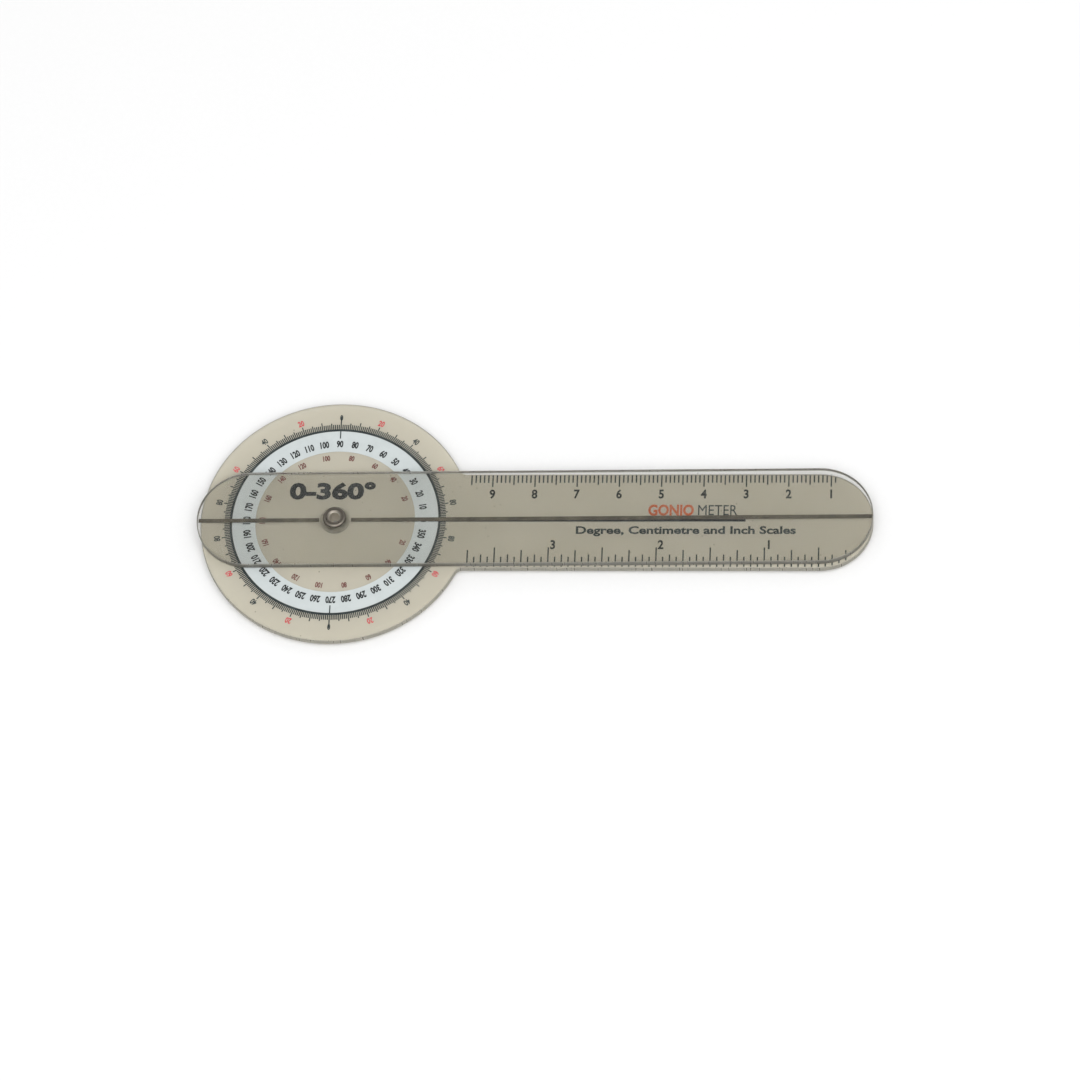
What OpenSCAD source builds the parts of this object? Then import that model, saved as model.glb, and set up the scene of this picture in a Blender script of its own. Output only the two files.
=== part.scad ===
// Full-circle goniometer: a clear protractor plate with one ruler arm, and a
// second clear arm that turns over it on a hollow rivet.
// Units are millimetres. The origin is where the pivot's axis crosses the
// underside of the fixed plate. The fixed arm points along +X, +Z is up.

/* [Plates] */
// Diameter of the round protractor head
head_d = 64; // [53:1:80]
// Reach of both arms, from the pivot's axis to the tip
arm_reach = 127; // [105:1:155]
// Width of both arms
arm_w = 25; // [20.5:0.5:31]
// Thickness of the fixed plate
fixed_t = 1.5; // [1:0.1:2.5]
// Thickness of the moving arm
moving_t = 1.5; // [1:0.1:2.5]
// How far the moving arm's tail shows past the head's edge
tail_overhang = 0.8; // [-4:0.1:3]
// Radius of the inside corners where the fixed arm leaves the head
neck_r = 2; // [0.5:0.1:5]
// How far the moving arm is turned from the fixed one as the tool lies closed, in degrees
rest_swing = 0.45; // [0:0.05:5]

/* [Pivot] */
// Diameter of the hole through the rivet
rivet_bore_d = 2.5; // [2:0.1:3.5]
// Wall of the rivet's barrel
rivet_wall = 0.35; // [0.25:0.05:0.6]
// Diameter of the rivet's set head, on top
rivet_head_d = 5.4; // [4.8:0.1:7]
// Rise of the set head above the moving arm
rivet_head_rise = 0.5; // [0.3:0.05:0.7]
// Diameter of the rivet's rolled end, underneath
rivet_roll_d = 4.8; // [4.6:0.1:6.5]
// Rise of the rolled end below the back washer
rivet_roll_rise = 0.45; // [0.3:0.05:0.6]
// Diameter of the metal back washer
back_washer_d = 5.6; // [5:0.1:8]
// Thickness of the back washer
back_washer_t = 0.4; // [0.2:0.05:0.8]
// Diameter of the clear spacer washer between the plates
spacer_d = 7; // [5.5:0.1:9]
// Thickness of the spacer washer, which is the gap between the plates
spacer_t = 0.3; // [0.2:0.05:0.6]
// Clearance all round the barrel, in the moving arm and the washers
barrel_gap = 0.06; // [0.02:0.01:0.1]
// Clearance between the moving arm and the rivet's set head
head_gap = 0.02; // [0.01:0.01:0.1]

/* [Degree scale] */
// Clear rim between the head's edge and the degree scale's circle
rim_w = 7.5; // [6:0.1:10]
// Width of the white ring inside the scale's circle
white_ring_w = 5.5; // [4:0.1:7]
// Width of the scale's circle line
circle_line_w = 0.55; // [0.15:0.05:0.8]
// Width of every degree tick
degree_tick_w = 0.26; // [0.12:0.01:0.3]
// Length of a one-degree tick
one_degree_len = 1.8; // [1:0.1:3]
// Length of a five-degree tick
five_degree_len = 2.2; // [1:0.1:3.5]
// Length of a ten-degree tick
ten_degree_len = 2.6; // [1:0.1:4]
// How far the quarter marks run inside the scale's circle
quarter_mark_in = 2; // [1:0.1:3]
// How far the quarter marks run outside the scale's circle
quarter_mark_out = 4; // [3:0.1:5]
// Distance from the scale's circle in to the middle of the numerals on the white ring
ring_numeral_in = 3.5; // [2.5:0.1:4.5]
// Distance from the scale's circle in to the middle of the inner row of numerals
inner_numeral_in = 7.2; // [6.5:0.1:9]
// Gap that the centre line leaves for a numeral
numeral_gap = 2; // [1.5:0.1:3]

/* [Rulers] */
// Width of every ruler tick
ruler_tick_w = 0.32; // [0.12:0.01:0.4]
// Margin between a plate's edge and the ink nearest to it
edge_margin = 0.35; // [0.2:0.05:1]
// Distance from the neck's corner to the rulers' last tick, at least
neck_margin = 0.5; // [0.2:0.1:3]
// Distance from the tip to the first millimetre tick
first_mm = 9; // [7:1:20]
// Length of a millimetre tick
mm_len = 2; // [1:0.1:3]
// Length of a half-centimetre tick
half_cm_len = 2.6; // [1.5:0.1:4]
// Length of a centimetre tick
cm_len = 3.1; // [2:0.1:5]
// Sixteenths of an inch from the tip to the first inch tick
first_sixteenth = 4; // [4:1:10]
// Length of a sixteenth-inch tick
sixteenth_len = 2.4; // [1:0.1:3]
// Length of an eighth-inch tick
eighth_len = 3; // [1.5:0.1:4]
// Length of a quarter-inch tick
quarter_len = 4.2; // [2:0.1:5]
// Length of a half-inch and of a whole-inch tick
half_inch_len = 4.9; // [3:0.1:6]

/* [Centre lines] */
// Width of the fixed arm's centre line
base_line_w = 0.6; // [0.3:0.05:1.2]
// How far short of the tip the fixed arm's centre line stops
base_line_short = 30; // [5:1:60]
// Width of the moving arm's index line
index_line_w = 1; // [0.3:0.05:1.5]
// Gap between the pivot's pieces and the lines that run up to them
line_gap = 0.3; // [0.1:0.1:1]
// Thickness of every printed layer
ink_t = 0.04; // [0.02:0.01:0.08]

/* [Hidden] */

INCH = 25.4;
head_r = head_d / 2;
arm_r = arm_w / 2;
tip_x = arm_reach - arm_r;
tail_reach = head_r + tail_overhang;
barrel_r = rivet_bore_d / 2 + rivet_wall;
hole_r = barrel_r + barrel_gap;

// Levels of the stack, from the bottom
washer_z = -back_washer_t;
print_z = fixed_t;
moving_z = fixed_t + spacer_t;
set_head_z = moving_z + moving_t + head_gap;

// Where the neck's fillet leaves the arm's straight edge
neck_y = arm_r + neck_r;
neck_x = sqrt(pow(head_r + neck_r, 2) - pow(neck_y, 2));

// Degree scale
scale_r = head_r - rim_w;
ring_gap = 0.05;
white_outer_r = scale_r - ring_gap;
white_inner_r = white_outer_r - white_ring_w;
ticks_outer_r = scale_r + ten_degree_len;
DEGREES = [0:359];

ring_numeral_r = scale_r - ring_numeral_in;
inner_numeral_r = scale_r - inner_numeral_in;

// How far a printed line that steps over the scale's ink runs past it, so that its levels join
ink_step = 0.2;

// Where a line that runs up to the pivot begins
line_start = spacer_d / 2 + line_gap;

// Rulers, counted from the tip towards the head
ruler_len = arm_reach - neck_x - neck_margin;
last_mm = floor(ruler_len);
last_sixteenth = floor(ruler_len * 16 / INCH);

// Colours
clear_smoke = [0.72, 0.71, 0.64, 0.75];
clear_pale = [0.82, 0.81, 0.75, 0.5];
metal = [0.74, 0.73, 0.7];
white_ink = [0.95, 0.97, 0.97];
black_ink = [0.1, 0.11, 0.11];
olive_ink = [0.33, 0.31, 0.25];

CURVE = 128;

function polar(r, a) = [r * cos(a), r * sin(a)];

// Half the angle that a bar of width w covers at radius r
function half_angle(w, r) = asin(w / 2 / r);

// Length of the degree tick at a whole number of degrees
function degree_len(a) = a % 10 == 0 ? ten_degree_len : a % 5 == 0 ? five_degree_len : one_degree_len;

// The four corners of one degree tick, standing on the scale's circle
function degree_tick(a) =
    let (
        foot_r = scale_r + circle_line_w,
        top_r = scale_r + degree_len(a),
        foot = half_angle(degree_tick_w, foot_r),
        top = half_angle(degree_tick_w, top_r)
    )
    [polar(foot_r, a - foot), polar(top_r, a - top), polar(top_r, a + top), polar(foot_r, a + foot)];

// Half-width of the arm's outline at a distance x from the pivot
function edge_y(x) = x < tip_x ? arm_r : sqrt(pow(arm_r, 2) - pow(x - tip_x, 2));

// Length of the tick at a whole number of millimetres, or of sixteenths of an inch
function mm_tick_len(n) = n % 10 == 0 ? cm_len : n % 5 == 0 ? half_cm_len : mm_len;
function inch_tick_len(n) =
    n % 8 == 0 ? half_inch_len : n % 4 == 0 ? quarter_len : n % 2 == 0 ? eighth_len : sixteenth_len;

// A bar of ink along X from x0 to x1, centred on the X axis
module ink_bar(x0, x1, w) {
    translate([x0, -w / 2, 0])
        cube([x1 - x0, w, ink_t]);
}

// A bar of ink that lies on the plate and steps over the white ring and the ticks
module stepped_bar(x0, x1, w) {
    ring_x = sqrt(pow(white_inner_r, 2) - pow(w / 2, 2));
    if (x0 < ring_x)
        ink_bar(x0, ring_x, w);
    translate([0, 0, ink_t])
        ink_bar(max(x0, ring_x - ink_step), ticks_outer_r + ink_step, w);
    ink_bar(ticks_outer_r, x1, w);
}

// A bar like that from the pivot outwards, with gaps for the two rows of numerals
module centre_bar(x1) {
    difference() {
        stepped_bar(line_start, x1, base_line_w);
        for (r = [inner_numeral_r, ring_numeral_r])
            translate([r - numeral_gap / 2, -base_line_w, -ink_t])
                cube([numeral_gap, 2 * base_line_w, 4 * ink_t]);
    }
}

// A ruler tick at x, from the margin at the arm's edge inwards; side is 1 or -1
module ruler_tick(x, len, side) {
    straight_end = arm_r - edge_margin;
    outer = min(straight_end, edge_y(x + ruler_tick_w / 2) - edge_margin);
    inner = straight_end - len;
    low = side > 0 ? inner : -outer;
    translate([x - ruler_tick_w / 2, low, 0])
        cube([ruler_tick_w, outer - inner, ink_t]);
}

// The straight part of an arm, from x0 to x1
module arm_bar(x0, x1, t) {
    translate([x0, -arm_r, 0])
        cube([x1 - x0, arm_w, t]);
}

// Fills one inside corner between the head and the arm's +Y edge
module neck_fillet() {
    difference() {
        linear_extrude(fixed_t)
            polygon([[0, 0], [neck_x, 0], [neck_x, neck_y]]);
        translate([neck_x, neck_y, -1])
            cylinder(r = neck_r, h = fixed_t + 2, $fn = CURVE);
    }
}

module fixed_plate() {
    color(clear_smoke)
    difference() {
        union() {
            cylinder(r = head_r, h = fixed_t, $fn = CURVE);
            arm_bar(0, tip_x, fixed_t);
            translate([tip_x, 0, 0])
                cylinder(r = arm_r, h = fixed_t, $fn = CURVE);
            neck_fillet();
            mirror([0, 1, 0])
                neck_fillet();
        }
        translate([0, 0, -1])
            cylinder(r = hole_r, h = fixed_t + 2, $fn = CURVE);
    }
}

module moving_arm() {
    tail_x = arm_r - tail_reach;
    color(clear_pale)
    translate([0, 0, moving_z])
    rotate([0, 0, rest_swing])
    difference() {
        union() {
            arm_bar(tail_x, tip_x, moving_t);
            for (x = [tail_x, tip_x])
                translate([x, 0, 0])
                    cylinder(r = arm_r, h = moving_t, $fn = CURVE);
        }
        translate([0, 0, -1])
            cylinder(r = hole_r, h = moving_t + 2, $fn = CURVE);
    }
}

// Section of a set or rolled end: a cap of height rise over the chord from the bore to r
module rivet_cap(r, rise) {
    bore_r = rivet_bore_d / 2;
    half_chord = (r - bore_r) / 2;
    cap_r = (pow(half_chord, 2) + pow(rise, 2)) / (2 * rise);
    intersection() {
        translate([bore_r + half_chord, rise - cap_r])
            circle(r = cap_r, $fn = CURVE);
        translate([bore_r, 0])
            square([2 * half_chord, rise]);
    }
}

module pivot_rivet() {
    color(metal) {
        difference() {
            translate([0, 0, washer_z])
                cylinder(r = barrel_r, h = set_head_z - washer_z, $fn = CURVE);
            translate([0, 0, washer_z - 1])
                cylinder(d = rivet_bore_d, h = set_head_z - washer_z + 2, $fn = CURVE);
        }
        translate([0, 0, set_head_z])
            rotate_extrude($fn = CURVE)
                rivet_cap(rivet_head_d / 2, rivet_head_rise);
        translate([0, 0, washer_z])
            mirror([0, 0, 1])
                rotate_extrude($fn = CURVE)
                    rivet_cap(rivet_roll_d / 2, rivet_roll_rise);
    }
}

// A flat washer on the rivet's barrel, standing on z
module flat_washer(d, t, z) {
    translate([0, 0, z])
        difference() {
            cylinder(d = d, h = t, $fn = CURVE);
            translate([0, 0, -1])
                cylinder(r = hole_r, h = t + 2, $fn = CURVE);
        }
}

module back_washer() {
    color(metal)
        flat_washer(back_washer_d, back_washer_t, washer_z);
}

module spacer_washer() {
    color(clear_pale)
        flat_washer(spacer_d, spacer_t, print_z);
}

module white_scale_ring() {
    color(white_ink)
    translate([0, 0, print_z])
    difference() {
        cylinder(r = white_outer_r, h = ink_t, $fn = CURVE);
        translate([0, 0, -1])
            cylinder(r = white_inner_r, h = ink_t + 2, $fn = CURVE);
    }
}

// The scale's circle and its 360 ticks, as one comb with a round hole
module degree_ticks() {
    comb = [for (a = DEGREES) each degree_tick(a)];
    hole = [for (a = DEGREES) polar(scale_r, a)];
    color(black_ink)
    translate([0, 0, print_z])
        linear_extrude(ink_t)
            polygon(
                points = concat(comb, hole),
                paths = [
                    [for (i = [0:len(comb) - 1]) i],
                    [for (i = [0:len(hole) - 1]) len(comb) + i]
                ]
            );
}

// Marks at 90 and 270 degrees, through the scale's ticks
module quarter_marks() {
    color(black_ink)
    translate([0, 0, print_z])
        for (a = [90, 270])
            rotate([0, 0, a])
                stepped_bar(scale_r - quarter_mark_in, scale_r + quarter_mark_out, degree_tick_w);
}

// The fixed arm's centre line, and the head's line on the other side of the pivot
module base_line() {
    color(black_ink)
    translate([0, 0, print_z]) {
        centre_bar(arm_reach - base_line_short);
        rotate([0, 0, 180])
            centre_bar(head_r - edge_margin);
    }
}

module centimetre_ticks() {
    color(black_ink)
    translate([0, 0, print_z])
        for (n = [first_mm:last_mm])
            ruler_tick(arm_reach - n, mm_tick_len(n), 1);
}

module inch_ticks() {
    color(black_ink)
    translate([0, 0, print_z])
        for (n = [first_sixteenth:last_sixteenth])
            ruler_tick(arm_reach - n * INCH / 16, inch_tick_len(n), -1);
}

// The moving arm's reading line, on its underside where it nearly meets the scale
module index_line() {
    color(olive_ink)
    translate([0, 0, moving_z - ink_t])
    rotate([0, 0, rest_swing]) {
        ink_bar(-tail_reach + edge_margin, -line_start, index_line_w);
        ink_bar(line_start, arm_reach - edge_margin, index_line_w);
    }
}

fixed_plate();
moving_arm();
pivot_rivet();
back_washer();
spacer_washer();
white_scale_ring();
degree_ticks();
quarter_marks();
base_line();
centimetre_ticks();
inch_ticks();
index_line();
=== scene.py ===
"""A see-through full-circle goniometer lying closed on a pale table: two clear sheets on a hollow rivet."""
import math

import bmesh
import bpy
import numpy as np
from mathutils import Matrix, Vector


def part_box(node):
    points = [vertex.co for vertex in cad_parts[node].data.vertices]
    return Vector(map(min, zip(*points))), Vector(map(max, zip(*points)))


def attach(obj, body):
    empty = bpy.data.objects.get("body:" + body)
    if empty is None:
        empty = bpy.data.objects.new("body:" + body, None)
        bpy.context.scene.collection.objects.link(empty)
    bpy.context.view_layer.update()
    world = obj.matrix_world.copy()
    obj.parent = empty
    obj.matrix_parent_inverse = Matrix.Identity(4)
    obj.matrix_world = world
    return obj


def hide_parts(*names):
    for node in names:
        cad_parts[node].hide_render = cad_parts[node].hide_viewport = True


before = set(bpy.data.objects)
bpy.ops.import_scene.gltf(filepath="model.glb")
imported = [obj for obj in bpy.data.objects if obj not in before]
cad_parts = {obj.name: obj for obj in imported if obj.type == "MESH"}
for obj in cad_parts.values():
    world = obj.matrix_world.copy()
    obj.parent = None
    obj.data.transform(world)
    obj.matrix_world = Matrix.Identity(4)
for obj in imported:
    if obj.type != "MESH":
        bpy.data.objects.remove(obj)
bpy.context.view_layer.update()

MM = 0.001
INCH = 25.4 * MM
QUARTER = math.pi / 2

# ---------------------------------------------------------------- sizes
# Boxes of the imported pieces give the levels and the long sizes.
plate_low, plate_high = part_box("fixed_plate")
moving_low, moving_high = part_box("moving_arm")
rivet_low, rivet_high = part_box("pivot_rivet")
washer_low, washer_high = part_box("back_washer")
spacer_low, spacer_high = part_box("spacer_washer")
white_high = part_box("white_scale_ring")[1]

# The sheets. The tail is the moving arm's short end, past the head.
ARM_REACH = plate_high[0]
HEAD_R = plate_high[1]
ARM_R = 12.5 * MM
NECK_R = 2.0 * MM
TAIL_REACH = HEAD_R + 0.8 * MM
TIP_X = ARM_REACH - ARM_R
REST_SWING = math.radians(0.45)
EDGE_ROUND = 0.22 * MM
HOLE_ROUND = 0.08 * MM

# The rivet. The hole is the one in both sheets and washers, which the barrel fills.
BORE_R = 1.25 * MM
BARREL_R = 1.6 * MM
HOLE_R = 1.66 * MM
ROLL_R = 2.4 * MM
HEAD_RISE = 0.5 * MM
RIVET_CORNER = 0.03 * MM
LOBE_DEPTH = 0.16 * MM

# The print, and the hair's gap that keeps pieces that touch from sharing a plane.
PRINT_Z = plate_high[2]
PRINT_GAP = 0.004 * MM
RING_TOP_Z = white_high[2]
INK_T = 0.02 * MM
SCALE_R = white_high[0] + 0.05 * MM
RING_NUMERAL_R = SCALE_R - 3.5 * MM
INNER_NUMERAL_R = SCALE_R - 7.2 * MM
OUTER_NUMERAL_R = SCALE_R + 3.7 * MM
CENTIMETRE_ROW_Y = 7.1 * MM
INCH_ROW_Y = -6.5 * MM
INCH_FIGURE_SHIFT = 1 * MM

# How finely things are divided.
OUTLINE_STEP = 1.2 * MM
FILLET_STEP = 0.15 * MM
EDGE_STEPS = 6
HOLE_STEPS = 3
HOLE_COLUMNS = 96
RIVET_COLUMNS = 144
LIP_STEPS = 20
WASHER_STEPS = 4
CURVE_STEPS = 3

# Blender's built-in letters, as shares of the text size: a capital's height, and how near two corners are
# when they count as one.
CAPITAL = 0.682
SAME_CORNER = 1e-5


# ---------------------------------------------------------------- meshes
def make_piece(name, points, faces, materials, face_material=None, smooth=True):
    """A mesh object at the origin from points, an (n, 3) array in metres, and faces, a list of corner
    lists."""
    mesh = bpy.data.meshes.new(name)
    mesh.from_pydata(np.asarray(points).tolist(), [], faces)
    for material in materials:
        mesh.materials.append(material)
    mesh.polygons.foreach_set("use_smooth", np.full(len(mesh.polygons), smooth))
    if face_material is not None:
        mesh.polygons.foreach_set("material_index", np.asarray(face_material, dtype=np.int32))
    mesh.update()
    piece = bpy.data.objects.new(name, mesh)
    bpy.context.scene.collection.objects.link(piece)
    return piece


def grid_faces(rows, columns, closed_rows):
    """The quads of a grid whose columns close round: corner (i, j) is point i * columns + j. closed_rows
    joins the last row to the first as well."""
    i, j = np.meshgrid(np.arange(rows if closed_rows else rows - 1), np.arange(columns), indexing="ij")
    down = (i + 1) % rows
    right = (j + 1) % columns
    corners = [i * columns + j, down * columns + j, down * columns + right, i * columns + right]
    return np.stack(corners, -1).reshape(-1, 4)


def arc(centre, radius, start, end, step, outward=1):
    """Points c + r (cos a, sin a) for a from start to end, a step apart at most, and the outline's normals
    there."""
    count = max(2, int(math.ceil(abs(end - start) * radius / step)) + 1)
    angle = np.linspace(start, end, count)
    ray = np.stack([np.cos(angle), np.sin(angle)], -1)
    return np.asarray(centre) + radius * ray, outward * ray


def straight(start, end, step, normal):
    """Points on the line from start to end, without its ends, which the neighbouring arcs hold."""
    start, end = np.asarray(start), np.asarray(end)
    count = int(math.ceil(np.linalg.norm(end - start) / step))
    share = np.arange(1, count)[:, None] / count
    return start + share * (end - start), np.tile(normal, (count - 1, 1))


def joined(*stretches):
    """One closed outline from its stretches: all their points, and all their normals."""
    return np.concatenate([s[0] for s in stretches]), np.concatenate([s[1] for s in stretches])


def paddle_outline():
    """The fixed sheet's outline, anticlockwise from the tip's lower end: a half circle at the tip, the +Y
    edge, a hollow fillet, the head's long arc, and the same fillet and edge mirrored."""
    neck_y = ARM_R + NECK_R
    neck_x = math.sqrt((HEAD_R + NECK_R) ** 2 - neck_y**2)
    neck_angle = math.atan2(neck_y, neck_x)
    head = arc((0, 0), HEAD_R, neck_angle, 2 * math.pi - neck_angle, OUTLINE_STEP)
    return joined(
        arc((TIP_X, 0), ARM_R, -QUARTER, QUARTER, OUTLINE_STEP),
        straight((TIP_X, ARM_R), (neck_x, ARM_R), 4 * OUTLINE_STEP, (0, 1)),
        arc((neck_x, neck_y), NECK_R, -QUARTER, neck_angle - math.pi, FILLET_STEP, -1),
        [part[1:-1] for part in head],
        arc((neck_x, -neck_y), NECK_R, math.pi - neck_angle, QUARTER, FILLET_STEP, -1),
        straight((neck_x, -ARM_R), (TIP_X, -ARM_R), 4 * OUTLINE_STEP, (0, -1)),
    )


def strip_outline():
    """The moving arm's outline, anticlockwise: a half circle at each end, joined by straight edges."""
    tail_x = ARM_R - TAIL_REACH
    return joined(
        arc((TIP_X, 0), ARM_R, -QUARTER, QUARTER, OUTLINE_STEP),
        straight((TIP_X, ARM_R), (tail_x, ARM_R), 4 * OUTLINE_STEP, (0, 1)),
        arc((tail_x, 0), ARM_R, QUARTER, 3 * QUARTER, OUTLINE_STEP),
        straight((tail_x, -ARM_R), (TIP_X, -ARM_R), 4 * OUTLINE_STEP, (0, -1)),
    )


def edge_section(low, high, rounding, steps):
    """The section of a cut edge, from the top face's support line down to the bottom's: pairs of how far in
    from the edge and how high. The corners are quarter circles, in = R (1 - sin a), z = z0 +- R cos a."""
    angle = np.linspace(0, QUARTER, steps + 1)
    inset = rounding * (1 - np.sin(angle))
    rise = rounding * np.cos(angle)
    support = rounding * 1.5
    top = np.stack([inset, high - rounding + rise], -1)
    bottom = np.stack([inset, low + rounding - rise], -1)[::-1]
    return np.concatenate([[[support, high]], top, bottom, [[support, low]]])


def half_faces(outline, hole):
    """A flat face with a hole, as two faces that meet on the X axis. outline and hole each give their
    points' numbers, anticlockwise from the +X end, and which of them is the -X end."""
    edge, west = outline
    bore, bore_west = hole
    upper = np.concatenate([edge[: west + 1], bore[: bore_west + 1][::-1]])
    lower = np.concatenate([edge[west:], edge[:1], bore[:1], bore[bore_west:][::-1]])
    return [upper.tolist(), lower.tolist()]


def cut_sheet(name, outline, low, high, face_material, edge_material, turn=0.0):
    """A sheet with a round hole at the pivot. Its edge's section is carried round the outline, inwards by
    the normals, and the hole's section round a circle. Two flat faces a side join them, and then all of it
    turns by turn."""
    points, normals = outline
    east = int(np.argmax(points[:, 0]))
    points, normals = np.roll(points, -east, axis=0), np.roll(normals, -east, axis=0)
    west = int(np.argmin(points[:, 0]))
    count = len(points)
    edge = edge_section(low, high, EDGE_ROUND, EDGE_STEPS)
    outer = points[None] - edge[:, :1, None] * normals[None]
    outer = np.concatenate([outer, np.broadcast_to(edge[:, 1:, None], outer.shape[:2] + (1,))], -1)

    wall = edge_section(low, high, HOLE_ROUND, HOLE_STEPS)[::-1]
    angle = np.arange(HOLE_COLUMNS) * 2 * math.pi / HOLE_COLUMNS
    ray = np.stack([np.cos(angle), np.sin(angle)], -1)
    inner = (HOLE_R + wall[:, :1, None]) * ray[None]
    inner = np.concatenate([inner, np.broadcast_to(wall[:, 1:, None], inner.shape[:2] + (1,))], -1)

    outer_quads = grid_faces(len(edge), count, False)
    start = len(edge) * count
    inner_quads = grid_faces(len(wall), HOLE_COLUMNS, False) + start
    top_bore = start + (len(wall) - 1) * HOLE_COLUMNS + np.arange(HOLE_COLUMNS)
    bottom_edge = (len(edge) - 1) * count + np.arange(count)
    half = HOLE_COLUMNS // 2
    top = half_faces((np.arange(count), west), (top_bore, half))
    bottom = half_faces((bottom_edge, west), (start + np.arange(HOLE_COLUMNS), half))
    faces = outer_quads.tolist() + inner_quads.tolist() + top + [face[::-1] for face in bottom]

    row = np.arange(len(outer_quads)) // count
    is_edge = np.zeros(len(faces), dtype=bool)
    is_edge[: len(outer_quads)] = (row >= 1) & (row < len(edge) - 2)
    flat = np.concatenate([outer.reshape(-1, 3), inner.reshape(-1, 3)])
    return make_piece(name, turned_by(flat, turn), faces, [face_material, edge_material], is_edge)


def turned_by(points, angle):
    """Points turned about Z: x' = x cos a - y sin a, y' = x sin a + y cos a."""
    x, y, z = np.asarray(points).T
    cos_turn, sin_turn = math.cos(angle), math.sin(angle)
    return np.stack([x * cos_turn - y * sin_turn, x * sin_turn + y * cos_turn, z], -1)


def revolved(name, section, material, lobes=None):
    """A closed section of (radius, height) pairs carried round Z. It runs outwards over the top, down the
    outside, in along the bottom and up the bore. lobes, where given, is how far each radius moves, by angle
    and section point."""
    section = np.asarray(section, dtype=float)
    angle = np.arange(RIVET_COLUMNS) * 2 * math.pi / RIVET_COLUMNS
    radius = np.tile(section[:, :1], (1, RIVET_COLUMNS))
    height = np.tile(section[:, 1:], (1, RIVET_COLUMNS))
    if lobes is not None:
        radius = radius + lobes(angle[None, :], section)
    grid = np.stack([radius * np.cos(angle), radius * np.sin(angle), height], -1)
    faces = grid_faces(len(section), RIVET_COLUMNS, True)
    return make_piece(name, grid.reshape(-1, 3), faces.tolist(), [material])


def lip(inner, outer, base, rise):
    """A rolled lip's section from its inner to its outer edge: half an oval over base, r = m - h cos a,
    z = base + rise (sin a)^0.8, a little squarer than an ellipse."""
    angle = np.linspace(0, math.pi, LIP_STEPS + 1)
    middle = (inner + outer) / 2
    half = (outer - inner) / 2
    height = np.abs(np.sin(angle)) ** 0.8
    return np.stack([middle - half * np.cos(angle), base + rise * height], -1)


def rivet_section():
    """The hollow rivet's section: the set head's lip, the barrel, and the rolled end's lip under the back
    washer."""
    head_r = rivet_high[0]
    head_z = rivet_high[2] - HEAD_RISE
    roll_z = washer_low[2]
    corner_r = BARREL_R + RIVET_CORNER
    under_head = [(head_r - RIVET_CORNER, head_z), (corner_r, head_z), (BARREL_R, head_z - RIVET_CORNER)]
    over_roll = [(BARREL_R, roll_z + RIVET_CORNER), (corner_r, roll_z), (ROLL_R - RIVET_CORNER, roll_z)]
    top = lip(BORE_R, head_r, head_z, HEAD_RISE)
    bottom = lip(BORE_R, ROLL_R, roll_z, rivet_low[2] - roll_z)[::-1]
    return np.concatenate([top, under_head, over_roll, bottom])


def rolled_splits(angle, section):
    """The rolled end opens in six soft lobes: below the washer its radii draw in by A (1 - |sin 3a|^0.5),
    more towards the rim, and the bore's own wall stays round."""
    below = np.clip((washer_low[2] - section[:, 1]) / (washer_low[2] - rivet_low[2]), 0, 1)[:, None]
    past_bore = np.clip((section[:, 0] - BORE_R) / (ROLL_R - BORE_R), 0, 1)[:, None]
    return -LOBE_DEPTH * below * past_bore * (1 - np.sqrt(np.abs(np.sin(3 * angle))))


def washer_section(inner, outer, low, high, rounding):
    """A flat washer's section with softened corners, revolved as any closed section is."""
    edge = edge_section(low, high, rounding, WASHER_STEPS)
    rim = np.stack([outer - edge[:, 0], edge[:, 1]], -1)
    bore = np.stack([inner + edge[:, 0], edge[:, 1]], -1)[::-1]
    return np.concatenate([rim, bore])


# ---------------------------------------------------------------- lettering
letter_shapes = {}


def letters(text, weight):
    """The text as closed solids between z 0 and 1, a capital one unit high, the middle of the line at the
    origin: points and three-cornered faces. weight thickens the strokes."""
    if (text, weight) not in letter_shapes:
        curve = bpy.data.curves.new("letters", "FONT")
        curve.body = text
        curve.extrude = 0.5
        curve.offset = weight
        curve.resolution_u = CURVE_STEPS
        mesh = bpy.data.meshes.new_from_object(bpy.data.objects.new("letters", curve))
        solid = bmesh.new()
        solid.from_mesh(mesh)
        bmesh.ops.remove_doubles(solid, verts=solid.verts, dist=SAME_CORNER)
        bmesh.ops.triangulate(solid, faces=solid.faces)
        points = np.array([vertex.co for vertex in solid.verts])
        faces = np.array([[vertex.index for vertex in face.verts] for face in solid.faces])
        solid.free()
        points[:, 0] -= (points[:, 0].min() + points[:, 0].max()) / 2
        points[:, 1] -= CAPITAL / 2
        letter_shapes[text, weight] = points / (CAPITAL, CAPITAL, 1) + (0, 0, 0.5), faces
    return letter_shapes[text, weight]


def printed(name, marks, style, low, material):
    """One printed layer of letter shapes. Each mark is (text, x, y, turn), and style is (height, breadth,
    weight): the text is scaled to its height, widened or narrowed by its breadth, turned about its middle,
    moved to (x, y), and given the ink's thickness above low."""
    height, breadth, weight = style
    points, faces = [], []
    count = 0
    for text, x, y, turn in marks:
        shape, corners = letters(text, weight)
        placed = turned_by(shape * (height * breadth, height, INK_T), turn)
        points.append(placed + (x, y, low))
        faces.append(corners + count)
        count += len(shape)
    return make_piece(name, np.concatenate(points), np.concatenate(faces).tolist(), [material], smooth=False)


def on_circle(texts, angles, radius):
    """Marks round the pivot, each with its foot towards it."""
    return [
        (text, radius * math.cos(a), radius * math.sin(a), a - QUARTER)
        for text, a in zip(texts, np.radians(angles))
    ]


# ---------------------------------------------------------------- node helpers
def add(tree, kind, inputs=None, **settings):
    """A new node with its settings, and its inputs' values or links by name or number."""
    made = tree.nodes.new(kind)
    for name, value in settings.items():
        setattr(made, name, value)
    for key, value in (inputs or {}).items():
        if isinstance(value, bpy.types.NodeSocket):
            tree.links.new(value, made.inputs[key])
        else:
            made.inputs[key].default_value = value
    return made


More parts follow.
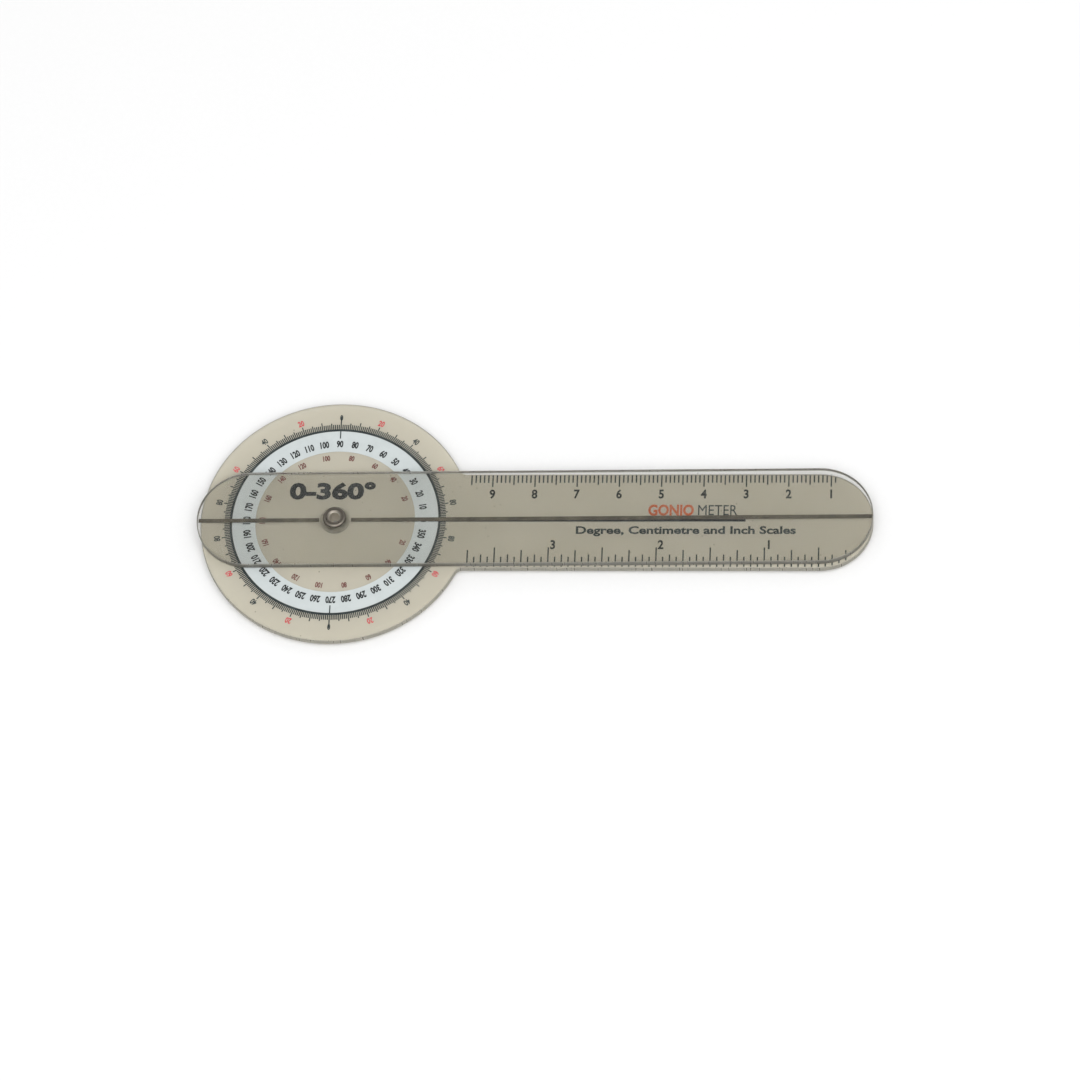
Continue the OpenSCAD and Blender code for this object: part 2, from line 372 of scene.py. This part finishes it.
def blended(tree, factor, first, second):
    """The colour between first and second, by factor."""
    return add(tree, "ShaderNodeMix", {0: factor, 6: first, 7: second}, data_type="RGBA").outputs[2]


def stretched(tree, position, angle, scale):
    """The position turned about Z by angle degrees and scaled, for a pattern with a direction."""
    turn = (0, 0, math.radians(angle))
    return add(tree, "ShaderNodeMapping", {"Vector": position, "Rotation": turn, "Scale": scale}).outputs[0]


def noise(tree, position, scale, detail=2.0, roughness=0.5):
    """Noise between 0 and 1; scale is how many features there are to a metre."""
    values = {"Vector": position, "Scale": scale, "Detail": detail, "Roughness": roughness}
    return add(tree, "ShaderNodeTexNoise", values).outputs[0]


def band(tree, value, low, high, to_low=0.0, to_high=1.0):
    """value mapped from low..high to to_low..to_high, held at the ends."""
    values = {0: value, 1: low, 2: high, 3: to_low, 4: to_high}
    return add(tree, "ShaderNodeMapRange", values, clamp=True).outputs[0]


def sums(tree, operation, first, second):
    """The two values combined by a math operation."""
    return add(tree, "ShaderNodeMath", {0: first, 1: second}, operation=operation).outputs[0]


def new_group(name, inputs, outputs):
    """An empty shader node group with named sockets: its tree, its inputs by name, and its output node."""
    tree = bpy.data.node_groups.new(name, "ShaderNodeTree")
    kinds = {"colour": "NodeSocketColor", "value": "NodeSocketFloat", "vector": "NodeSocketVector"}
    for socket, (kind, default) in inputs.items():
        made = tree.interface.new_socket(socket, in_out="INPUT", socket_type=kinds[kind])
        made.default_value = default
    for socket, kind in outputs.items():
        tree.interface.new_socket(socket, in_out="OUTPUT", socket_type=kinds[kind])
    return tree, tree.nodes.new("NodeGroupInput").outputs, tree.nodes.new("NodeGroupOutput")


def send(tree, output, results):
    """Links each result to the group's output of that name."""
    for name, value in results.items():
        tree.links.new(value, output.inputs[name])


# ---------------------------------------------------------------- shared effects
def handling_marks():
    """What pockets and fingers leave on a polished sheet: fine straight scratches in three directions, broad
    smudges, and a faint unevenness. It gives a roughness and a height."""
    inputs = {
        "Position": ("vector", (0, 0, 0)),
        "Polish": ("value", 0.05),
        "Scratches": ("value", 0.2),
        "Smudges": ("value", 0.05),
    }
    tree, given, output = new_group("handling_marks", inputs, {"Roughness": "value", "Height": "value"})
    scratches = None
    for angle, length, width in ((17, 25, 1300), (-38, 40, 1700), (81, 30, 1500)):
        along = stretched(tree, given["Position"], angle, (length, width, length))
        line = band(tree, noise(tree, along, 1.0, 1.0), 0.70, 0.76)
        scratches = line if scratches is None else sums(tree, "MAXIMUM", scratches, line)
    smudge = band(tree, noise(tree, given["Position"], 70, 3.0, 0.6), 0.45, 0.7)
    cut = sums(tree, "MULTIPLY", scratches, given["Scratches"])
    wiped = sums(tree, "MULTIPLY", smudge, given["Smudges"])
    rough = sums(tree, "ADD", given["Polish"], sums(tree, "ADD", cut, wiped))
    wave = band(tree, noise(tree, given["Position"], 45, 1.0), 0.0, 1.0, 0.0, 0.6)
    send(tree, output, {"Roughness": rough, "Height": sums(tree, "SUBTRACT", wave, cut)})
    return tree


def sheet_cloud():
    """Slow changes of tone through a cast sheet, with tiny dark specks. It gives a colour between clear and
    cloudy."""
    inputs = {
        "Position": ("vector", (0, 0, 0)),
        "Clear": ("colour", (0.8, 0.8, 0.8, 1)),
        "Cloudy": ("colour", (0.7, 0.7, 0.7, 1)),
    }
    tree, given, output = new_group("sheet_cloud", inputs, {"Colour": "colour"})
    slow = noise(tree, given["Position"], 55, 2.0)
    fine = noise(tree, given["Position"], 420, 2.0)
    share = sums(tree, "ADD", sums(tree, "MULTIPLY", slow, 0.7), sums(tree, "MULTIPLY", fine, 0.3))
    tone = blended(tree, band(tree, share, 0.35, 0.65), given["Clear"], given["Cloudy"])
    cells = add(tree, "ShaderNodeTexVoronoi", {"Vector": given["Position"], "Scale": 260.0})
    clear_of_speck = band(tree, cells.outputs["Distance"], 0.03, 0.06)
    dark = blended(tree, 0.5, given["Cloudy"], (0.2, 0.19, 0.17, 1))
    send(tree, output, {"Colour": blended(tree, clear_of_speck, dark, tone)})
    return tree


def screen_print():
    """A screen-printed film: the screen's fine grain and patches where the ink went on thinner. It gives a
    colour, a roughness and a height."""
    inputs = {
        "Position": ("vector", (0, 0, 0)),
        "Full": ("colour", (0.02, 0.02, 0.02, 1)),
        "Thin": ("colour", (0.1, 0.1, 0.1, 1)),
        "Wear": ("value", 0.4),
    }
    outputs = {"Colour": "colour", "Roughness": "value", "Height": "value"}
    tree, given, output = new_group("screen_print", inputs, outputs)
    grain = noise(tree, given["Position"], 5200, 2.0)
    patch = band(tree, noise(tree, given["Position"], 330, 3.0, 0.6), 0.42, 0.72)
    uneven = sums(tree, "ADD", patch, sums(tree, "MULTIPLY", grain, 0.25))
    thin = sums(tree, "MULTIPLY", given["Wear"], uneven)
    colour = blended(tree, thin, given["Full"], given["Thin"])
    rough = band(tree, grain, 0.3, 0.7, 0.42, 0.62)
    send(tree, output, {"Colour": colour, "Roughness": rough, "Height": grain})
    return tree


def plated_metal():
    """Nickel plate that has dulled: tarnish in patches, fine pits, and the plate's brightness along crests
    that rub, where the surface faces up or down. It gives a colour, a roughness and a height."""
    inputs = {
        "Position": ("vector", (0, 0, 0)),
        "Facing": ("value", 0.5),
        "Bright": ("colour", (0.6, 0.58, 0.54, 1)),
        "Dull": ("colour", (0.2, 0.19, 0.17, 1)),
    }
    outputs = {"Colour": "colour", "Roughness": "value", "Height": "value"}
    tree, given, output = new_group("plated_metal", inputs, outputs)
    patch = noise(tree, given["Position"], 900, 4.0, 0.65)
    pits = noise(tree, given["Position"], 6000, 2.0)
    crest = sums(tree, "ADD", given["Facing"], sums(tree, "MULTIPLY", patch, 0.5))
    tarnish = sums(tree, "SUBTRACT", 1.0, band(tree, crest, 0.95, 1.35))
    colour = blended(tree, tarnish, given["Bright"], given["Dull"])
    dullness = sums(tree, "ADD", sums(tree, "MULTIPLY", patch, 0.6), tarnish)
    rough = band(tree, dullness, 0.2, 1.4, 0.2, 0.5)
    send(tree, output, {"Colour": colour, "Roughness": rough, "Height": pits})
    return tree


HANDLING = handling_marks()
CLOUD = sheet_cloud()
PRINT = screen_print()
PLATE = plated_metal()


# ---------------------------------------------------------------- materials
# Refractive indices: acrylic's own, and a lower one for the moving arm, which then mirrors less.
ACRYLIC = 1.49
FAINT = 1.35


def started(name):
    """A new material's tree, its Principled node and the Object coordinates."""
    material = bpy.data.materials.new(name)
    material.use_nodes = True
    tree = material.node_tree
    shader = tree.nodes["Principled BSDF"]
    return material, tree, shader, tree.nodes.new("ShaderNodeTexCoord").outputs["Object"]


def group(tree, effect, **inputs):
    """An effect's group placed in a material, with its own values."""
    made = tree.nodes.new("ShaderNodeGroup")
    made.node_tree = effect
    for name, value in inputs.items():
        if isinstance(value, bpy.types.NodeSocket):
            tree.links.new(value, made.inputs[name])
        else:
            made.inputs[name].default_value = value
    return made.outputs


def bump(tree, shader, height, depth):
    """Feeds a height to the shader's normal; depth is its full range in metres."""
    made = add(tree, "ShaderNodeBump", {"Height": height, "Strength": 1.0, "Distance": depth})
    tree.links.new(made.outputs[0], shader.inputs["Normal"])


def clear_sheet(name, clear, cloudy, clarity, bending):
    """Polished see-through plastic. clarity is the share that passes light, and the rest is its milkiness.
    bending is its refractive index."""
    material, tree, shader, position = started(name)
    cloud = group(tree, CLOUD, Position=position, Clear=clear, Cloudy=cloudy)
    marks = group(tree, HANDLING, Position=position, Polish=0.02, Scratches=0.06, Smudges=0.03)
    tree.links.new(cloud["Colour"], shader.inputs["Base Color"])
    tree.links.new(marks["Roughness"], shader.inputs["Roughness"])
    bump(tree, shader, marks["Height"], 0.004 * MM)
    shader.inputs["Transmission Weight"].default_value = clarity
    shader.inputs["IOR"].default_value = bending
    return material


def cut_edge(name, light, dark, clarity):
    """The sheet's cut edge: satin, with the cutter's fine upright lines. Its dark colours are partly the
    edge's own deeper tint and partly painted shade, for the shade that falls on the side faces. clarity is
    the share that passes light."""
    material, tree, shader, position = started(name)
    lines = noise(tree, stretched(tree, position, 0, (2600, 2600, 120)), 1.0, 2.0)
    slow = noise(tree, position, 200)
    tone = sums(tree, "ADD", sums(tree, "MULTIPLY", lines, 0.5), sums(tree, "MULTIPLY", slow, 0.5))
    tree.links.new(blended(tree, band(tree, tone, 0.35, 0.65), light, dark), shader.inputs["Base Color"])
    tree.links.new(band(tree, lines, 0.3, 0.7, 0.25, 0.45), shader.inputs["Roughness"])
    bump(tree, shader, lines, 0.01 * MM)
    shader.inputs["Transmission Weight"].default_value = clarity
    shader.inputs["IOR"].default_value = ACRYLIC
    return material


def ink(name, full, thin, wear):
    """A screen-printed ink of its own colours, which wears to thin."""
    material, tree, shader, position = started(name)
    film = group(tree, PRINT, Position=position, Full=full, Thin=thin, Wear=wear)
    tree.links.new(film["Colour"], shader.inputs["Base Color"])
    tree.links.new(film["Roughness"], shader.inputs["Roughness"])
    bump(tree, shader, film["Height"], 0.003 * MM)
    shader.inputs["Specular IOR Level"].default_value = 0.3
    return material


def plated(name, bright, dull, painted_bore_light):
    """Dulled nickel plate over brass. Inside the bore the colour is painted light: a much lighter colour
    that stands in for light on the bore's inner wall."""
    material, tree, shader, position = started(name)
    normal = add(tree, "ShaderNodeNewGeometry").outputs["Normal"]
    upright = add(tree, "ShaderNodeSeparateXYZ", {0: normal}).outputs[2]
    facing = add(tree, "ShaderNodeMath", {0: upright}, operation="ABSOLUTE").outputs[0]
    metal = group(tree, PLATE, Position=position, Facing=facing, Bright=bright, Dull=dull)
    flat = stretched(tree, position, 0, (1, 1, 0))
    radius = add(tree, "ShaderNodeVectorMath", {0: flat}, operation="LENGTH").outputs["Value"]
    # Painted light: inside the bore the colour turns to a much lighter one, for light on the bore's inner
    # wall.
    bore_light_mask = band(tree, radius, BORE_R + 0.05 * MM, BORE_R + 0.2 * MM, 1.0, 0.0)
    tree.links.new(blended(tree, bore_light_mask, metal["Colour"], painted_bore_light), shader.inputs["Base Color"])
    tree.links.new(metal["Roughness"], shader.inputs["Roughness"])
    bump(tree, shader, metal["Height"], 0.01 * MM)
    shader.inputs["Metallic"].default_value = 1.0
    return material


def floor_paper():
    """A plain pale floor with a faint grain."""
    material, tree, shader, position = started("floor_paper")
    grain = noise(tree, position, 900, 3.0)
    pale = blended(tree, grain, (0.79, 0.79, 0.79, 1), (0.81, 0.81, 0.81, 1))
    tree.links.new(pale, shader.inputs["Base Color"])
    tree.links.new(band(tree, grain, 0.2, 0.8, 0.85, 0.95), shader.inputs["Roughness"])
    shader.inputs["Specular IOR Level"].default_value = 0.0
    return material


smoke = clear_sheet("smoke_sheet", (0.815, 0.775, 0.655, 1), (0.785, 0.745, 0.625, 1), 0.52, ACRYLIC)
# The cut edges' dark colours are partly their own deeper tint and partly painted shade, darker than their
# sheets.
smoke_edge_and_shade = cut_edge("smoke_cut_edge_and_shade", (0.42, 0.40, 0.34, 1), (0.34, 0.33, 0.28, 1), 0.5)
pale = clear_sheet("pale_sheet", (1.0, 0.995, 0.975, 1), (0.99, 0.985, 0.96, 1), 0.985, FAINT)
pale_edge_and_shade = cut_edge("pale_cut_edge_and_shade", (0.30, 0.29, 0.25, 1), (0.21, 0.20, 0.17, 1), 0.68)
# The nickel's last colour, much lighter, is painted light in the bore, for light on its inner wall.
nickel = plated("dull_nickel", (0.25, 0.225, 0.19, 1), (0.09, 0.08, 0.067, 1), (0.74, 0.70, 0.62, 1))
black = ink("black_ink", (0.012, 0.014, 0.015, 1), (0.05, 0.055, 0.055, 1), 0.6)
green_black = ink("green_black_ink", (0.016, 0.023, 0.024, 1), (0.06, 0.075, 0.075, 1), 0.7)
white = ink("white_ink", (0.52, 0.56, 0.56, 1), (0.45, 0.49, 0.49, 1), 0.5)
olive = ink("olive_ink", (0.07, 0.062, 0.045, 1), (0.14, 0.125, 0.09, 1), 0.7)
brown = ink("brown_ink", (0.11, 0.035, 0.03, 1), (0.22, 0.1, 0.09, 1), 0.7)
red = ink("red_ink", (0.5, 0.035, 0.05, 1), (0.55, 0.16, 0.17, 1), 0.6)
orange = ink("orange_ink", (0.42, 0.085, 0.028, 1), (0.42, 0.16, 0.09, 1), 0.7)


# ---------------------------------------------------------------- the tool
def stands_for(piece, body, slot, *nodes):
    """Puts a piece on its body, in place of the CAD nodes that it details. slot, the record's slot, is not
    used.
    """
    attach(piece, body)
    if nodes:
        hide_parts(*nodes)


def sheets():
    """The two see-through sheets. The fixed one's top is a hair under its print, so that they share no
    plane."""
    plate_top = plate_high[2] - PRINT_GAP
    plate = cut_sheet("protractor_sheet", paddle_outline(), plate_low[2], plate_top, smoke, smoke_edge_and_shade)
    stands_for(plate, "protractor", "smoke_plastic", "fixed_plate")
    arm_low = moving_low[2] + PRINT_GAP
    arm = cut_sheet("swing_arm_sheet", strip_outline(), arm_low, moving_high[2], pale, pale_edge_and_shade, REST_SWING)
    stands_for(arm, "arm", "pale_plastic", "moving_arm")


def pivot():
    """The hollow rivet with its washers: one of metal at the back, and a clear one between the sheets."""
    rivet = revolved("hollow_rivet", rivet_section(), nickel, rolled_splits)
    stands_for(rivet, "protractor", "nickel", "pivot_rivet")
    back_round = 0.08 * MM
    back = washer_section(HOLE_R, washer_high[0], washer_low[2], washer_high[2] - PRINT_GAP, back_round)
    stands_for(revolved("rivet_washer", back, nickel), "protractor", "nickel", "back_washer")
    disc_round = 0.05 * MM
    disc = washer_section(HOLE_R, spacer_high[0], spacer_low[2], spacer_high[2] - PRINT_GAP, disc_round)
    stands_for(revolved("spacer_disc", disc, pale), "protractor", "pale_plastic", "spacer_washer")


def scales():
    """The printed scales and lines, whose shapes are the frame's own."""
    inks = {
        "white_scale_ring": white,
        "degree_ticks": green_black,
        "quarter_marks": green_black,
        "base_line": black,
        "centimetre_ticks": green_black,
        "inch_ticks": green_black,
        "index_line": olive,
    }
    for node, material in inks.items():
        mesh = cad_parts[node].data
        mesh.materials.clear()
        mesh.materials.append(material)


def numerals():
    """The figures of the degree scale's three rows and of both rulers. A style is a capital's height, its
    breadth and its stroke's weight."""
    ring_style = (1.6 * MM, 0.66, 0.045)
    inner_style = (1.3 * MM, 0.66, 0.04)
    outer_style = (1.4 * MM, 0.7, 0.03)
    ruler_style = (2.2 * MM, 0.85, 0.03)

    tens = range(0, 360, 10)
    ring = on_circle(map(str, tens), tens, RING_NUMERAL_R)
    twenties = range(0, 360, 20)
    folded = [str(min(a, 360 - a)) for a in twenties]
    inner = on_circle(folded, twenties, INNER_NUMERAL_R)

    # The outer row counts both ways from the marks at the head's top and foot.
    outer = {"outer_dark_numerals": [], "outer_red_numerals": []}
    for from_top in twenties:
        figure = min(abs(from_top - turn) for turn in (0, 180, 360))
        row = "outer_red_numerals" if figure in (20, 60) else "outer_dark_numerals"
        outer[row] += on_circle([str(figure)], [90 - from_top], OUTER_NUMERAL_R)

    ruler = [(str(k), ARM_REACH - 10 * k * MM, CENTIMETRE_ROW_Y, 0) for k in range(1, 10)]
    ruler += [(str(k), ARM_REACH - k * INCH + INCH_FIGURE_SHIFT, INCH_ROW_Y, 0) for k in range(1, 4)]
    return [
        printed("ring_numerals", ring, ring_style, RING_TOP_Z, black),
        printed("inner_numerals", inner, inner_style, PRINT_Z, brown),
        printed("outer_dark_numerals", outer["outer_dark_numerals"], outer_style, PRINT_Z, green_black),
        printed("outer_red_numerals", outer["outer_red_numerals"], outer_style, PRINT_Z, red),
        printed("ruler_numerals", ruler, ruler_style, PRINT_Z, black),
    ]


def wording():
    """Plain words that say what the tool is and what its scales read, in the same kind of style."""
    range_mark = ("0-360°", -1.0 * MM, 7.9 * MM, 0)
    front_mark = ("GONIO", 79.4 * MM, 2.75 * MM, 0)
    back_mark = ("METER", 90.4 * MM, 2.75 * MM, 0)
    scales_mark = ("Degree, Centimetre and Inch Scales", 83 * MM, -2.6 * MM, 0)
    return [
        printed("range_word", [range_mark], (3.95 * MM, 1.3, 0.045), PRINT_Z, black),
        printed("title_front", [front_mark], (2.7 * MM, 0.8, 0.035), PRINT_Z, orange),
        printed("title_back", [back_mark], (2.7 * MM, 0.8, 0.0), PRINT_Z, green_black),
        printed("scales_line", [scales_mark], (1.9 * MM, 1.28, 0.03), PRINT_Z, green_black),
    ]


sheets()
pivot()
scales()
ink_slots = {brown: "brown_ink", red: "red_ink", orange: "orange_ink"}
for layer in numerals() + wording():
    stands_for(layer, "protractor", ink_slots.get(layer.data.materials[0], "black_ink"))


# ---------------------------------------------------------------- floor, light and camera
def lay_floor():
    """A square of floor under the tool's lowest point."""
    half = 3.0
    level = rivet_low[2] - PRINT_GAP
    corners = [(-half, -half, level), (half, -half, level), (half, half, level), (-half, half, level)]
    floor = make_piece("floor", corners, [[0, 1, 2, 3]], [floor_paper()], smooth=False)


def light_room():
    """Even light from all round, with a dark card high on the far side, whose reflection keeps glare off the
    sheets, and one broad lamp high on the near side."""
    card_way = (-0.08, 0.5, 0.86)
    card_tone = (0.09, 0.09, 0.09, 1)
    room_strength = 0.8
    lamp_place = Vector((0.25, -0.5, 1.25))
    lamp_width = 1.5
    lamp_watts = 15.5

    world = bpy.data.worlds.new("soft_room")
    world.use_nodes = True
    bpy.context.scene.world = world
    tree = world.node_tree
    way = add(tree, "ShaderNodeTexCoord").outputs["Generated"]
    toward = add(tree, "ShaderNodeVectorMath", {0: way, 1: card_way}, operation="DOT_PRODUCT")
    on_card = band(tree, toward.outputs["Value"], 0.92, 0.98)
    backdrop = tree.nodes["Background"]
    tree.links.new(blended(tree, on_card, (1.0, 1.0, 1.0, 1), card_tone), backdrop.inputs["Color"])
    backdrop.inputs["Strength"].default_value = room_strength

    lamp = bpy.data.lights.new("soft_lamp", "AREA")
    lamp.shape = "SQUARE"
    lamp.size = lamp_width
    lamp.energy = lamp_watts
    holder = bpy.data.objects.new("soft_lamp", lamp)
    bpy.context.scene.collection.objects.link(holder)
    holder.location = lamp_place
    holder.rotation_euler = (-lamp_place).to_track_quat("-Z", "Y").to_euler()


def set_camera():
    """A long lens that looks down on the tool from its near side. It is rolled so that the X axis lies level
    in the picture, and it aims at a point between the pivot and the tip."""
    turn = math.radians(9.5)
    lift = math.radians(61)
    aim_along = 48.5 * MM
    aim_below = 5.25 * MM
    picture_width = 254.9 * MM
    back = Vector((math.sin(turn) * math.cos(lift), -math.cos(turn) * math.cos(lift), math.sin(lift)))
    right = Vector((math.cos(turn), math.sin(turn), 0))
    up = back.cross(right)
    roll = math.atan(math.tan(turn) * math.sin(lift))
    rolled_right = math.cos(roll) * right - math.sin(roll) * up
    rolled_up = math.sin(roll) * right + math.cos(roll) * up
    aim = Vector((0, 0, moving_high[2])) + aim_along * rolled_right - aim_below * rolled_up

    lens = bpy.data.cameras.new("long_lens")
    lens.sensor_width = 36
    lens.lens = 200
    lens.clip_start = 0.01
    distance = picture_width * lens.lens / lens.sensor_width
    holder = bpy.data.objects.new("long_lens", lens)
    bpy.context.scene.collection.objects.link(holder)
    axes = Matrix((rolled_right, rolled_up, back)).transposed().to_4x4()
    holder.matrix_world = Matrix.Translation(aim + distance * back) @ axes
    bpy.context.scene.camera = holder


lay_floor()
light_room()
set_camera()
bpy.context.scene.view_settings.view_transform = "Standard"
